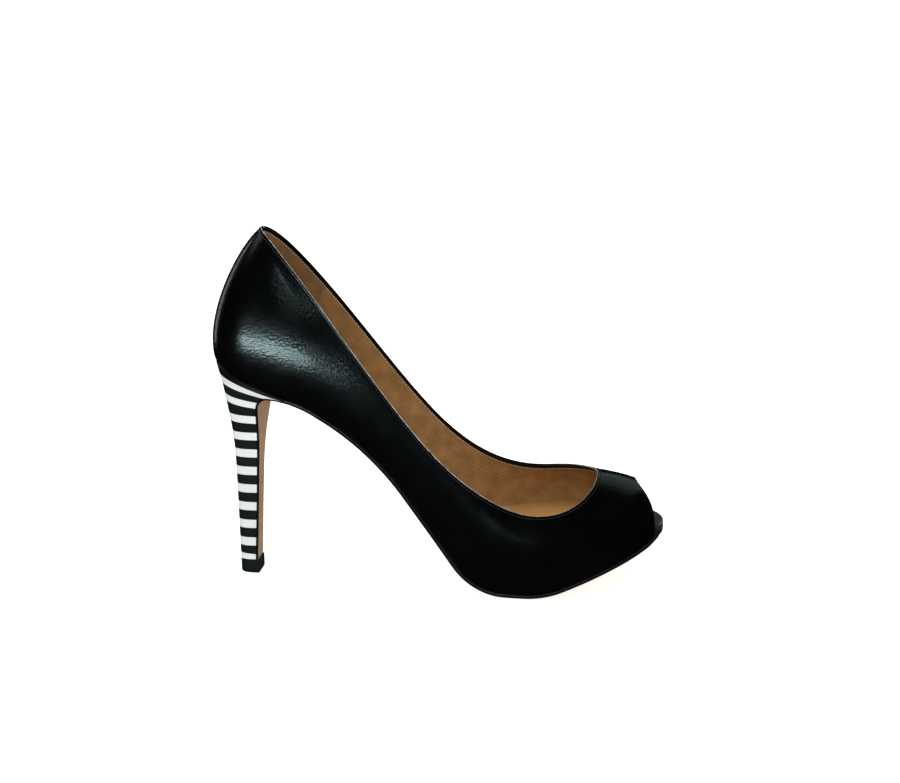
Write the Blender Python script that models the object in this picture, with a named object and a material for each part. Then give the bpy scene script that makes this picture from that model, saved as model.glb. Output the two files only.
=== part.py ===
"""Peep-toe court shoe with a covered platform, a striped stiletto heel and a thin leather sole.

A right shoe of size 37. Sizes are in millimetres and meshes are written in metres.
+X points to the toe, -Y to the outer (lateral) side, +Z up, and the floor is z = 0.
"""

import math
from collections import namedtuple

import bpy
import numpy as np

MM = 0.001

# Driving sizes
WALL = 1.8  # upper leather with its lining
GAP = 0.3  # clearance between pieces that meet
SOLE = 2.4  # outsole leather under the foot
FLAP = 1.0  # the same leather, skived, down the heel breast
INSOLE = 2.6  # insole board and sock
LIFT = 6.8  # rubber top lift under the heel
LIFT_REACH = 0.5  # how far the lift stands out in front of the flap
ORIGIN_X, ORIGIN_Y = -0.45, 0.40  # middle of the shoe's box, which becomes the origin

# Outsole, from its toe along the floor, up the arch and down the heel breast
TREAD_FRONT, TREAD_BACK = 41.0, 32.0  # flat spot under the ball
TOE_SPRING, TOE_RADIUS = 21.6, 50.0
SOLE_TOE_X = 102.4
ROLL_RADIUS, PITCH = 30.0, 54.4
SHANK_LENGTH = 39.5
ARCH_RADIUS, ARCH_END = 138.5, 32.0
LIP_RADIUS, LIP_END = 47.2, 4.0
BREAST_RADIUS, BREAST_TOP = 5.3, -83.0
SWEEP_RADIUS, BREAST_RAKE = 600.0, -86.5
SEAT_RADIUS, SEAT_ANGLE, SEAT_LENGTH = 45.0, 21.4, 46.0
CROWN, CROWN_WIDTH = 0.5, 4.5  # share of the thickness lost at the sole's edges, and how far in
EDGE_INSET = 0.5  # sole edge inside the upper's lower edge

# Insole surface, from the toe back to the heel seat
BALL_X, BALL_Z = 29.0, 24.2
FOREPART_RISE, FOREPART_LENGTH = 3.5, 75.0
BALL_RADIUS, FOOT_PITCH = 38.0, 49.5
RAMP_LENGTH = 33.9
WAIST_RADIUS = 100.0
INSOLE_FRONT_X = 93.0  # the sock stops behind the black lip of the platform
PLATFORM_BACK_X = -8.0

Move = namedtuple("Move", "length turn")
Feather = namedtuple("Feather", "name x lateral medial")
Topline = namedtuple("Topline", "name x lateral medial z_lateral z_medial")
Wall = namedtuple("Wall", "name flare low lean high")
Breast = namedtuple("Breast", "up heel sole")
HeelLevel = namedtuple("HeelLevel", "name back_z up")

# Lower edge of the upper in plan, a row for each section from the back seam to the toe
FEATHER = [
    Feather("back seam", -103.5, 0.0, 0.0),
    Feather("cup", -99.1, -12.6, 12.6),
    Feather("heel side", -86.7, -20.7, 20.7),
    Feather("breast", -67.5, -23.6, 23.4),
    Feather("shank", -43.0, -22.6, 21.4),
    Feather("waist", -18.0, -23.4, 20.6),
    Feather("instep", 5.0, -26.6, 23.2),
    Feather("joint", 26.0, -30.8, 28.8),
    Feather("ball", 46.0, -32.8, 33.2),
    Feather("vamp", 66.0, -30.8, 33.8),
    Feather("shoulder", 83.0, -24.0, 29.6),
    Feather("corner", 95.5, -13.6, 21.6),
    Feather("toe", 103.0, 4.0, 4.0),
]

# Upper edge of the upper: the collar from the back seam round to the throat
TOPLINE = [
    Topline("back seam", -79.5, 0.0, 0.0, 166.2, 166.2),
    Topline("cup", -77.2, -6.6, 6.6, 164.4, 164.4),
    Topline("heel side", -70.4, -12.0, 12.0, 157.6, 157.6),
    Topline("breast", -56.6, -17.0, 17.0, 140.8, 140.8),
    Topline("shank", -37.0, -21.4, 21.2, 114.2, 114.4),
    Topline("waist", -17.5, -23.2, 22.6, 87.4, 88.8),
    Topline("instep", 1.0, -25.4, 24.4, 65.4, 67.6),
    Topline("joint", 20.0, -27.8, 26.6, 49.8, 53.4),
    Topline("ball", 39.0, -29.0, 27.8, 40.8, 47.4),
    Topline("vamp", 55.0, -26.8, 26.8, 39.8, 47.6),
    Topline("shoulder", 65.6, -18.4, 20.6, 42.8, 48.8),
    Topline("corner", 71.3, -9.0, 12.0, 47.2, 50.0),
    Topline("toe", 73.0, 1.6, 1.6, 50.4, 50.4),
]

# How the wall leaves its lower edge (flare out, in degrees) and reaches its upper edge (lean in)
WALLS = [
    Wall("back seam", 18.0, 19.0, 52.0, 16.6),
    Wall("cup", 18.0, 19.0, 46.0, 17.0),
    Wall("heel side", 18.0, 18.0, 34.0, 18.0),
    Wall("breast", 19.0, 16.0, 22.0, 16.0),
    Wall("shank", 20.0, 12.0, 12.0, 12.0),
    Wall("waist", 19.0, 10.0, 9.0, 10.0),
    Wall("instep", 18.0, 10.0, 12.0, 10.0),
    Wall("joint", 20.0, 12.0, 24.0, 13.0),
    Wall("ball", 22.0, 14.0, 40.0, 16.0),
    Wall("vamp", 20.0, 15.0, 56.0, 18.0),
    Wall("shoulder", 16.0, 17.0, 70.0, 19.0),
    Wall("corner", 10.0, 19.5, 79.0, 20.0),
    Wall("toe", 6.0, 20.0, 86.0, 21.0),
]

# Peep toe: its two sides where they meet the sole, and the share of the wall that its arch reaches
PEEP_LATERAL_Y, PEEP_MEDIAL_Y = -8.1, 25.5
PEEP_TOP, PEEP_ROUNDNESS = 0.645, 2.37
LIP_START, LIP_BLEND = 0.92, 0.16  # shares of the peep's half width where the lip comes out
LIP_OUT = 0.5  # how far the lip stands out of the upper's face
LIP_ROUND = 3.0  # rounding of the platform's upper edge

# Half widths of the heel's front and of the leather on it, by the way up from the top lift to the wing tip
BREAST = [
    Breast(0.0, 5.4, 5.3),
    Breast(20.0, 5.2, 5.1),
    Breast(40.0, 5.4, 5.3),
    Breast(53.9, 6.3, 6.2),
    Breast(62.0, 8.2, 8.1),
    Breast(69.2, 11.6, 11.4),
    Breast(77.0, 15.2, 14.9),
    Breast(85.2, 18.6, 17.6),
    Breast(93.4, 23.2, 21.0),
]
HEEL_BACK_X, HEEL_FLARE, HEEL_FLARE_Z = -97.0, 6.5, 40.0
HEEL_BACK_Z, HEEL_FLARE_POWER = 104.0, 2.9
WING_TIP_X, WING_TAPER = -68.2, 2.3  # the sole is full thickness again that far past the wing tip
SEAT_ROUNDNESS, STEM_ROUNDNESS = 2.2, 2.7

# Stripes of the heel: the first levels follow the seat, the rest lie level down to the top lift
STRIPE_TOP, STRIPE_PERIOD, STRIPE_WHITE, LEVEL_STRIPES = 79.5, 8.8, 4.1, 9
SEAT_STRIPES = [
    HeelLevel("second white, lower edge", 86.1, 76.9),
    HeelLevel("second white, upper edge", 90.2, 79.9),
    HeelLevel("first white, lower edge", 95.2, 83.5),
    HeelLevel("first white, upper edge", 99.4, 93.0),
]

# Mesh counts
SIDE_COLUMNS, PEEP_COLUMNS, WALL_ROWS = 46, 20, 11
DECK_COLUMNS, PLATFORM_LEVELS, HEEL_COLUMNS, SEAT_STEPS = 46, 5, 20, 4
WALK_STEP, TOE_STATIONS, CLOSER = 2.0, 9, 2.0


def arc(radius, turn):
    return Move(radius * math.radians(abs(turn)), turn)


def straight(length):
    return Move(length, 0.0)


def walk(start, heading, moves, step=WALK_STEP):
    """Rows of x, z and heading along arcs and straights. Heading 0 goes back along -X, and 90 goes up."""
    x, z = start
    rows = [(x, z, heading)]
    for move in moves:
        count = max(1, math.ceil(move.length / step))
        for _ in range(count):
            middle = math.radians(heading + move.turn / count / 2)
            half_turn = math.radians(move.turn / count / 2)
            chord = move.length / count
            if move.turn:
                chord *= math.sin(half_turn) / half_turn
            x -= chord * math.cos(middle)
            z += chord * math.sin(middle)
            heading += move.turn / count
            rows.append((x, z, heading))
    return np.array(rows)


def offset(rows, distance):
    """The walk moved square to itself, upwards where it goes back along -X."""
    turn = np.radians(rows[:, 2])
    return np.column_stack([rows[:, 0] + distance * np.sin(turn), rows[:, 1] + distance * np.cos(turn)])


def toe_start():
    """Where the outsole's lower face ends at the toe, so that its flat spot lies on the floor."""
    turn = math.radians(TOE_SPRING)
    run = (SOLE_TOE_X - TREAD_FRONT - TOE_RADIUS * math.sin(turn)) / math.cos(turn)
    return (SOLE_TOE_X, TOE_RADIUS * (1 - math.cos(turn)) + run * math.sin(turn)), run


def forepart_moves():
    return [
        straight(toe_start()[1]),
        arc(TOE_RADIUS, TOE_SPRING),
        straight(TREAD_FRONT - TREAD_BACK),
        arc(ROLL_RADIUS, PITCH),
        straight(SHANK_LENGTH),
        arc(ARCH_RADIUS, ARCH_END - PITCH),
    ]


def sole_walk(step=WALK_STEP):
    """The outsole's lower face from its toe to the lower end of the breast flap."""
    turn = [
        arc(LIP_RADIUS, LIP_END - ARCH_END),
        arc(BREAST_RADIUS, BREAST_TOP - LIP_END),
        arc(SWEEP_RADIUS, BREAST_RAKE - BREAST_TOP),
    ]
    start = toe_start()[0]
    corner = walk(start, -TOE_SPRING, forepart_moves() + turn)[-1]
    fall = (corner[1] - LIFT - GAP) / math.sin(math.radians(-BREAST_RAKE))
    return walk(start, -TOE_SPRING, forepart_moves() + turn + [straight(fall)], step)


def heights(points):
    """A function that gives the height of a line of points at any x."""
    order = np.argsort(points[:, 0])
    return lambda x: np.interp(x, points[order, 0], points[order, 1])


def feather_line():
    """Height of the upper's lower edge: the top of the sole, and behind it the straight heel seat."""
    seat = [arc(SEAT_RADIUS, SEAT_ANGLE - ARCH_END), straight(SEAT_LENGTH)]
    return heights(offset(walk(toe_start()[0], -TOE_SPRING, forepart_moves() + seat), SOLE + GAP))


def insole_line():
    """Height of the insole's upper face."""
    rise = math.radians(FOREPART_RISE)
    toe = (BALL_X + FOREPART_LENGTH * math.cos(rise), BALL_Z + FOREPART_LENGTH * math.sin(rise))
    moves = [
        straight(FOREPART_LENGTH),
        arc(BALL_RADIUS, FOREPART_RISE + FOOT_PITCH),
        straight(RAMP_LENGTH),
        arc(WAIST_RADIUS, SEAT_ANGLE - FOOT_PITCH),
        straight(SEAT_LENGTH),
    ]
    return heights(walk(toe, -FOREPART_RISE, moves)[:, :2])


feather_z = feather_line()
insole_z = insole_line()


def insole_low(x):
    """Height of the insole's lower face: on the platform, or on the sole and heel seat behind it."""
    return np.maximum(insole_z(x) - INSOLE, feather_z(x))


def platform_top(x):
    """Height of the platform, which steps up in front of the sock to form the lip in the peep toe."""
    step = np.clip((x - INSOLE_FRONT_X - 1.0) / 2.0, 0.0, 1.0)
    return insole_low(x) - GAP + step * INSOLE


class Ring:
    """Closed cubic spline through rows of values, with its parameter running from 0 to 1."""

    def __init__(self, knots, values):
        self.knots, self.values = knots, values
        count = len(values)
        spans = np.diff(knots)
        system = np.zeros((count, count))
        target = np.zeros(values.shape)
        for i in range(count):
            before, after = spans[i - 1], spans[i]
            system[i, i - 1] += before
            system[i, i] += 2 * (before + after)
            system[i, (i + 1) % count] += after
            rise = (values[(i + 1) % count] - values[i]) / after
            target[i] = 6 * (rise - (values[i] - values[i - 1]) / before)
        self.bend = np.linalg.solve(system, target)

    def at(self, u):
        u = np.mod(u, 1.0)
        i = np.clip(np.searchsorted(self.knots, u, side="right") - 1, 0, len(self.values) - 1)
        j = (i + 1) % len(self.values)
        span = self.knots[i + 1] - self.knots[i]
        b = ((u - self.knots[i]) / span)[..., None]
        a = 1 - b
        curve = (a**3 - a) * self.bend[i] + (b**3 - b) * self.bend[j]
        return a * self.values[i] + b * self.values[j] + curve * (span**2)[..., None] / 6


def last_ring():
    """The spline of all section values, lateral rows from back to toe and then medial rows back again."""
    rows = []
    for side in ("lateral", "medial"):
        for f, t, w in zip(FEATHER, TOPLINE, WALLS):
            top_z = getattr(t, "z_" + side)
            rows.append((f.x, getattr(f, side), t.x, getattr(t, side), top_z, *w[1:]))
    count = len(FEATHER)
    lateral, medial = rows[:count], rows[count + 1 : -1][::-1]
    values = np.array(lateral + medial)
    reach = np.linalg.norm(np.roll(values, -1, axis=0)[:, :2] - values[:, :2], axis=1)
    knots = np.concatenate([[0.0], np.cumsum(reach) / reach.sum()])
    return Ring(knots, values), knots[count - 1]


ring, TOE_U = last_ring()


def outward(u, columns):
    """Level unit normals, pointing out of the closed plan curve held in two columns of the ring."""
    small = 1e-4
    along = ring.at(u + small)[..., columns] - ring.at(u - small)[..., columns]
    normal = np.stack([along[..., 1], -along[..., 0]], axis=-1)
    return normal / np.linalg.norm(normal, axis=-1, keepdims=True)


def with_height(plan, z):
    return np.concatenate([plan, np.asarray(z)[..., None]], axis=-1)


def wall_surface(u, h):
    """Outer face of the upper at u round the shoe, 0 at the back seam, and h from lower to upper edge."""
    u, h = np.broadcast_arrays(np.asarray(u, float), np.asarray(h, float))
    row = ring.at(u)
    foot = with_height(row[..., 0:2], feather_z(row[..., 0]))
    top = row[..., 2:5]
    flare, lean = np.radians(row[..., 5]), np.radians(row[..., 7])
    low, high = row[..., 6:7], row[..., 8:9]
    foot_out, top_out = outward(u, [0, 1]), outward(u, [2, 3])
    rise = with_height(foot_out * np.sin(flare)[..., None], np.cos(flare))
    fall = with_height(top_out * np.sin(lean)[..., None], -np.cos(lean))
    a, b = 1 - h[..., None], h[..., None]
    return a**3 * foot + 3 * a**2 * b * (foot + low * rise) + 3 * a * b**2 * (top + high * fall) + b**3 * top


def wall_normal(u, h):
    small = 1e-4
    along = wall_surface(u + small, h) - wall_surface(u - small, h)
    up = wall_surface(u, np.minimum(h + small, 1.0)) - wall_surface(u, np.maximum(h - small, 0.0))
    normal = np.cross(along, up)
    return normal / np.linalg.norm(normal, axis=-1, keepdims=True)


def u_at_toe_y(y):
    """Place round the toe where the lower edge crosses a given y."""
    u = np.linspace(TOE_U - 0.12, TOE_U + 0.12, 400)
    return float(np.interp(y, ring.at(u)[:, 1], u))


def u_at_x(x, low_u, high_u):
    """Place along one side of the shoe where the lower edge crosses a given x."""
    u = np.linspace(low_u, high_u, 600)
    plan_x = ring.at(u)[:, 0]
    order = np.argsort(plan_x)
    return float(np.interp(x, plan_x[order], u[order]))


PEEP_START, PEEP_END = u_at_toe_y(PEEP_LATERAL_Y), u_at_toe_y(PEEP_MEDIAL_Y)


def peep_edge(u):
    """Share of the wall that the peep toe cuts away, 0 outside it."""
    across = (2 * u - PEEP_START - PEEP_END) / (PEEP_END - PEEP_START)
    inside = np.clip(1 - np.abs(across) ** PEEP_ROUNDNESS, 0.0, 1.0)
    return PEEP_TOP * inside ** (1 / PEEP_ROUNDNESS)


def spaced(start, end, count):
    """Places along the lower edge at even lengths, closer round the peep toe and where the sole rolls."""
    u = np.linspace(start, end, 1500)
    plan = ring.at(u)[:, :2]
    foot = with_height(plan, feather_z(plan[:, 0]))
    reach = ROLL_RADIUS * math.sin(math.radians(PITCH)) / 2
    roll = np.abs(foot[1:, 0] - TREAD_BACK + reach) < reach + 4.0
    peep = np.abs(2 * u[1:] - PEEP_START - PEEP_END) < 1.5 * (PEEP_END - PEEP_START)
    closer = np.where(peep, 1.5 * CLOSER, np.where(roll, CLOSER, 1.0))
    steps = np.linalg.norm(np.diff(foot, axis=0), axis=1) * closer
    length = np.concatenate([[0.0], np.cumsum(steps)])
    return np.interp(np.linspace(0.0, length[-1], count), length, u)


def paired(lateral):
    """Places on the medial side straight across from those on the lateral side."""
    u = np.linspace(1.0, TOE_U, 3000)
    return np.interp(ring.at(lateral)[:, 0], ring.at(u)[:, 0], u)


def upper_columns():
    """Places round the shoe, closer together where the peep toe's edge turns up."""
    lateral = spaced(0.0, PEEP_START, SIDE_COLUMNS + 1)
    medial = spaced(PEEP_END, 1.0, SIDE_COLUMNS + 1)
    turn = np.linspace(-math.pi / 2, math.pi / 2, PEEP_COLUMNS + 1)[1:-1]
    across = np.sign(turn) * np.abs(np.sin(turn)) ** (2 / PEEP_ROUNDNESS)
    peep = (PEEP_START + PEEP_END) / 2 + across * (PEEP_END - PEEP_START) / 2
    return np.concatenate([lateral, peep, medial[:-1]])


def upper_points():
    """A closed loop of points for each column: up the outer face, over the rim and down the lining."""
    u = upper_columns()
    rows = np.linspace(0.0, 1.0, WALL_ROWS + 1)
    low = peep_edge(u)[:, None]
    h = low + (1 - low) * rows[None, :]
    u = np.broadcast_to(u[:, None], h.shape)
    outer, normal = wall_surface(u, h), wall_normal(u, h)
    inner = outer - WALL * normal
    level = with_height(outward(u[:, 0], [0, 1]), np.zeros(len(u)))
    on_sole = low[:, 0] == 0
    inner[on_sole, 0] = (outer[:, 0] - WALL * level)[on_sole]
    along = outer[:, -1] - outer[:, -2]
    rim = (outer[:, -1] + inner[:, -1]) / 2 + 0.3 * WALL * along / np.linalg.norm(along, axis=1, keepdims=True)
    return np.concatenate([outer, rim[:, None], inner[:, ::-1]], axis=1)


def inside_ring(u, level, inset):
    """Where the upper's face, moved in by inset, meets the surface whose height at x is level(x)."""
    h = np.linspace(0.0, 1.0, 161)
    grid_u = np.broadcast_to(u[:, None], (len(u), len(h)))
    grid_h = np.broadcast_to(h[None, :], grid_u.shape)
    face = wall_surface(grid_u, grid_h) - np.reshape(inset, (-1, 1, 1)) * wall_normal(grid_u, grid_h)
    above = face[..., 2] - level(face[..., 0])
    after = np.clip(np.argmax(above > 0, axis=1), 1, len(h) - 1)
    i = np.arange(len(u))
    low, high = above[i, after - 1], above[i, after]
    share = np.clip(-low / (high - low), 0.0, 1.0)[:, None]
    plan = (1 - share) * face[i, after - 1, :2] + share * face[i, after, :2]
    return with_height(plan, level(plan[:, 0]))


def base_ring(u, inset):
    """The upper's lower edge, moved in by inset and standing on the sole."""
    plan = ring.at(u)[:, :2] - np.reshape(inset, (-1, 1)) * outward(u, [0, 1])
    return with_height(plan, feather_z(plan[:, 0]))


def insole_rings():
    """Lower and upper outline of the insole, from its medial front corner round the heel to the lateral one."""
    lateral = spaced(0.003, u_at_x(INSOLE_FRONT_X, 0.1, TOE_U), DECK_COLUMNS)
    u = np.concatenate([paired(lateral)[::-1] - 1.0, lateral])
    inset = np.full(len(u), WALL + GAP + 0.1)
    low = inside_ring(u, lambda x: insole_low(x) + 0.4, inset + 0.2)
    edge = inside_ring(u, lambda x: insole_z(x) - 0.5, inset)
    top = inside_ring(u, insole_z, inset + 0.8)
    for outline in (low, edge, top):
        outline[:, 0] = np.minimum(outline[:, 0], INSOLE_FRONT_X)
    low[:, 2] = insole_low(low[:, 0])
    edge[:, 2] = insole_z(edge[:, 0]) - 0.5
    top[:, 2] = insole_z(top[:, 0])
    return np.stack([low, edge, top])


def platform_inset(u):
    """The platform lies inside the upper, and comes out to its own leather-covered lip in the peep toe."""
    across = np.abs(2 * u - PEEP_START - PEEP_END) / (PEEP_END - PEEP_START)
    out = np.clip((LIP_START - across) / LIP_BLEND, 0.0, 1.0)
    out = out * out * (3 - 2 * out)
    return (WALL + 1.4 * GAP) * (1 - out) - LIP_OUT * out


def lip_drop(x):
    """How far below the platform's top its rounded edge starts."""
    return np.minimum(0.4 * LIP_ROUND, 0.3 * (platform_top(x) - feather_z(x)))


def platform_rings():
    """Outlines of the platform from the sole up to the insole."""
    lateral = spaced(u_at_x(PLATFORM_BACK_X, 0.1, TOE_U), TOE_U - 0.002, DECK_COLUMNS)
    u = np.concatenate([lateral, paired(lateral)[::-1]])
    inset = platform_inset(u)
    rings = [base_ring(u, inset + 0.2)]
    for share in np.linspace(0.0, 1.0, PLATFORM_LEVELS + 1)[1:-1]:
        rings.append(inside_ring(u, lambda x, s=share: (1 - s) * feather_z(x) + s * platform_top(x), inset))
    rings.append(inside_ring(u, lambda x: platform_top(x) - lip_drop(x), inset + 0.3 * LIP_ROUND))
    rings.append(inside_ring(u, platform_top, inset + LIP_ROUND))
    return np.stack(rings)


def side_width(x, side):
    """Signed half width of the upper's lower edge at x, on the lateral or medial side."""
    u = np.linspace(0.0, TOE_U, 400) if side == "lateral" else np.linspace(TOE_U, 1.0, 400)
    plan = ring.at(u)
    order = np.argsort(plan[:, 0])
    return np.interp(x, plan[order, 0], plan[order, 1])


def smooth(x, xs, ys):
    """Smooth curve through a short table."""
    xs, ys = np.asarray(xs, float), np.asarray(ys, float)
    slopes = np.gradient(ys, xs)
    i = np.clip(np.searchsorted(xs, x, side="right") - 1, 0, len(xs) - 2)
    span = xs[i + 1] - xs[i]
    b = np.clip((x - xs[i]) / span, 0.0, 1.0)
    a = 1 - b
    ends = a * a * (1 + 2 * b) * ys[i] + b * b * (1 + 2 * a) * ys[i + 1]
    return ends + a * b * span * (a * slopes[i] - b * slopes[i + 1])


def sole_stations():
    """Rows of x, z, heading, way up from the top lift, lateral y, medial y and thickness along the outsole."""
    rows = sole_walk()
    run = toe_start()[1]
    back = (1 - np.cos(np.linspace(0.08, math.pi / 2, TOE_STATIONS))) * run / 2
    turn = math.radians(TOE_SPRING)
    toe = rows[0] - np.outer(back, [math.cos(turn), math.sin(turn), 0.0])
    rows = np.concatenate([toe, rows[rows[:, 0] < toe[-1, 0] - 1.0]])
    x = rows[:, 0]
    steps = np.hypot(np.diff(x), np.diff(rows[:, 1]))
    up = np.concatenate([np.cumsum(steps[::-1])[::-1], [0.0]])
    lip_start = walk(toe_start()[0], -TOE_SPRING, forepart_moves())[-1][0]
    wing = BREAST[-1]
    ups = [row.up for row in BREAST] + [float(np.interp(-lip_start, -x, up))]
    sides = []
    for side, sign in (("lateral", -1), ("medial", 1)):
        end = sign * side_width(lip_start, side) - EDGE_INSET
        half = smooth(up, ups, [row.sole for row in BREAST] + [end])
        sides.append(np.where(x < lip_start, sign * half, side_width(x, side) - sign * EDGE_INSET))
    crest = BREAST[-2].up
    thick = np.interp(up, [crest, wing.up + WING_TAPER], [FLAP, SOLE])
    return np.column_stack([rows, up, *sides, thick])


def outsole_sections():
    """A closed six-sided section across the sole at each station, a little crowned under the foot."""
    sections = []
    for x, z, heading, _, lateral, medial, thick in sole_stations():
        turn = math.radians(heading)
        lift = CROWN * SOLE * (thick - FLAP) / (SOLE - FLAP)
        inset = min(CROWN_WIDTH * thick / SOLE, 0.3 * (medial - lateral))
        low = lift * max(0.0, 1 - (SOLE_TOE_X - x) / CROWN_WIDTH)
        outline = [
            (lateral, thick),
            (lateral, lift),
            (lateral + inset, low),
            (medial - inset, low),
            (medial, lift),
            (medial, thick),
        ]
        sections.append([(x + n * math.sin(turn), y, z + n * math.cos(turn)) for y, n in outline])
    return np.array(sections)


def heel_back_x(z):
    share = max(0.0, z - HEEL_FLARE_Z) / (HEEL_BACK_Z - HEEL_FLARE_Z)
    return HEEL_BACK_X - HEEL_FLARE * share**HEEL_FLARE_POWER


def heel_front(up):
    """Point of the heel's front face and its half width, at a way up from the top lift to the wing tip."""
    rows = sole_stations()[::-1]
    rows = rows[rows[:, 3] < BREAST[-1].up + 6.0]
    turn = np.radians(rows[:, 2])
    reach = rows[:, 6] + 1.4 * GAP
    x = np.interp(up, rows[:, 3], rows[:, 0] + reach * np.sin(turn))
    z = np.interp(up, rows[:, 3], rows[:, 1] + reach * np.cos(turn))
    return x, z, smooth(up, [row.up for row in BREAST], [row.heel for row in BREAST])


def heel_keys():
    """Levels of the heel where its stripes change, as back height and way up the front, from the top lift up."""
    keys = []
    for stripe in range(LEVEL_STRIPES)[::-1]:
        upper = STRIPE_TOP - stripe * STRIPE_PERIOD
        for z in (max(upper - STRIPE_WHITE, LIFT + GAP), upper):
            keys.append((z, z - LIFT - GAP))
    return keys + [(level.back_z, level.up) for level in SEAT_STRIPES] + [(HEEL_BACK_Z, BREAST[-1].up)]


def heel_levels():
    """Rows of back x, back z, front x, front z, half width and roundness, from the top lift up to the seat."""
    keys = heel_keys()
    first = 2 * LEVEL_STRIPES - 1
    levels = keys[:first]
    for low, high in zip(keys[first:], keys[first + 1 :]):
        for step in range(SEAT_STEPS):
            levels.append(tuple(np.array(low) + (np.array(high) - low) * step / SEAT_STEPS))
    rows = []
    for back_z, up in levels:
        share = np.clip((back_z - STRIPE_TOP) / (HEEL_BACK_Z - STRIPE_TOP), 0.0, 1.0)
        roundness = STEM_ROUNDNESS + share * (SEAT_ROUNDNESS - STEM_ROUNDNESS)
        rows.append((heel_back_x(back_z), back_z, *heel_front(up), roundness))
    back = FEATHER[0].x
    seat_z = [float(feather_z(x)) - GAP for x in (back, WING_TIP_X)]
    rows.append((back, seat_z[0], WING_TIP_X, seat_z[1], BREAST[-1].heel, SEAT_ROUNDNESS))
    return np.array(rows, float)


def d_ring(back_x, back_z, front_x, front_z, half, roundness, columns=HEEL_COLUMNS):
    """A D outline with its flat at the front, from the medial front corner round the back."""
    turn = np.linspace(0.0, math.pi, 2 * columns)
    deep = np.sin(turn) ** (2 / roundness)
    wide = np.sign(np.cos(turn)) * np.abs(np.cos(turn)) ** (2 / roundness)
    x = front_x + (back_x - front_x) * deep
    z = front_z + (back_z - front_z) * deep
    return np.column_stack([x, half * wide, z])


def heel_rings():
    return np.stack([d_ring(*row) for row in heel_levels()])


def top_lift_rings():
    """The lift under heel and flap, a little rounded at its foot."""
    back_x, _, front_x, _, half, roundness = heel_levels()[0]
    front_x += 1.4 * GAP + FLAP + LIFT_REACH
    rings = []
    for z, inset in ((0.0, 0.5), (0.6, 0.1), (LIFT, 0.0)):
        rings.append(d_ring(back_x + inset, z, front_x - inset, z, half - inset, roundness))
    return np.stack(rings)


def quads_between(rows, columns, wrap_rows):
    """Faces of a grid of points that closes on itself across its columns, and if asked across its rows."""
    faces = []
    for i in range(rows if wrap_rows else rows - 1):
        for k in range(columns):
            a, b = i * columns, (i + 1) % rows * columns
            faces.append((a + k, a + (k + 1) % columns, b + (k + 1) % columns, b + k))
    return faces


def rung_faces(start, count):
    """Faces that close one ring with rungs from side to side."""
    return [(start + i, start + i + 1, start + count - 2 - i, start + count - 1 - i) for i in range(count // 2 - 1)]


def stack_faces(levels, count):
    """Faces of closed rings one above the other, with both ends closed."""
    top = rung_faces((levels - 1) * count, count)
    return quads_between(levels, count, False) + top + [face[::-1] for face in rung_faces(0, count)]


def material(name, colour, roughness):
    made = bpy.data.materials.new(name)
    made.use_nodes = True
    shader = made.node_tree.nodes["Principled BSDF"]
    shader.inputs["Base Color"].default_value = (*colour, 1.0)
    shader.inputs["Roughness"].default_value = roughness
    return made


def add_object(name, points, faces, look, parent):
    """A closed mesh in metres, with its faces turned outwards."""
    points = np.asarray(points).reshape(-1, 3) * MM
    mesh = bpy.data.meshes.new(name)
    mesh.from_pydata([tuple(p) for p in points], [], faces)
    corners = np.array([points[list(f)] - points[0] for f in mesh_triangles(mesh)])
    if np.linalg.det(corners).sum() < 0:
        mesh.flip_normals()
    mesh.shade_smooth()
    mesh.set_sharp_from_angle(angle=math.radians(40))
    mesh.materials.append(look)
    made = bpy.data.objects.new(name, mesh)
    made.parent = parent
    bpy.context.scene.collection.objects.link(made)
    return made


def mesh_triangles(mesh):
    mesh.calc_loop_triangles()
    return [tuple(t.vertices) for t in mesh.loop_triangles]


def add_stack(name, rings, look, parent):
    return add_object(name, rings, stack_faces(*rings.shape[:2]), look, parent)


def add_sections(name, sections, look, parent):
    """A solid swept through sections, closed at both ends."""
    count, corners = sections.shape[:2]
    last = (count - 1) * corners
    ends = [tuple(range(corners))[::-1], tuple(range(last, last + corners))]
    return add_object(name, sections, quads_between(count, corners, False) + ends, look, parent)


def main():
    for old in list(bpy.data.objects):
        bpy.data.objects.remove(old)
    shoe = bpy.data.objects.new("shoe", None)
    shoe.location = (-ORIGIN_X * MM, -ORIGIN_Y * MM, 0.0)
    bpy.context.scene.collection.objects.link(shoe)

    black_leather = material("black_leather", (0.012, 0.012, 0.013), 0.38)
    sock_leather = material("sock_leather", (0.42, 0.26, 0.14), 0.6)
    sole_leather = material("sole_leather", (0.52, 0.36, 0.22), 0.5)
    striped_cover = material("striped_cover", (0.42, 0.42, 0.40), 0.35)
    lift_rubber = material("lift_rubber", (0.015, 0.015, 0.015), 0.6)

    wall = upper_points()
    add_object("upper", wall, quads_between(*wall.shape[:2], True), black_leather, shoe)
    add_stack("insole", insole_rings(), sock_leather, shoe)
    add_stack("platform", platform_rings(), black_leather, shoe)
    add_sections("outsole", outsole_sections(), sole_leather, shoe)
    add_stack("heel", heel_rings(), striped_cover, shoe)
    add_stack("top_lift", top_lift_rings(), lift_rubber, shoe)


main()
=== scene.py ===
"""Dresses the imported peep-toe court shoe: folded and stitched upper, lining, sock, platform cover, sole, heel and lift.

Shapes follow the curves of the CAD source, in millimetres, and meshes are written in metres in the row frame.
+X points to the toe, -Y to the outer (lateral) side, +Z up, and the floor is z = 0.
"""

import math
from collections import namedtuple

import bpy
import numpy as np
from mathutils import Matrix, Vector


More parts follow.
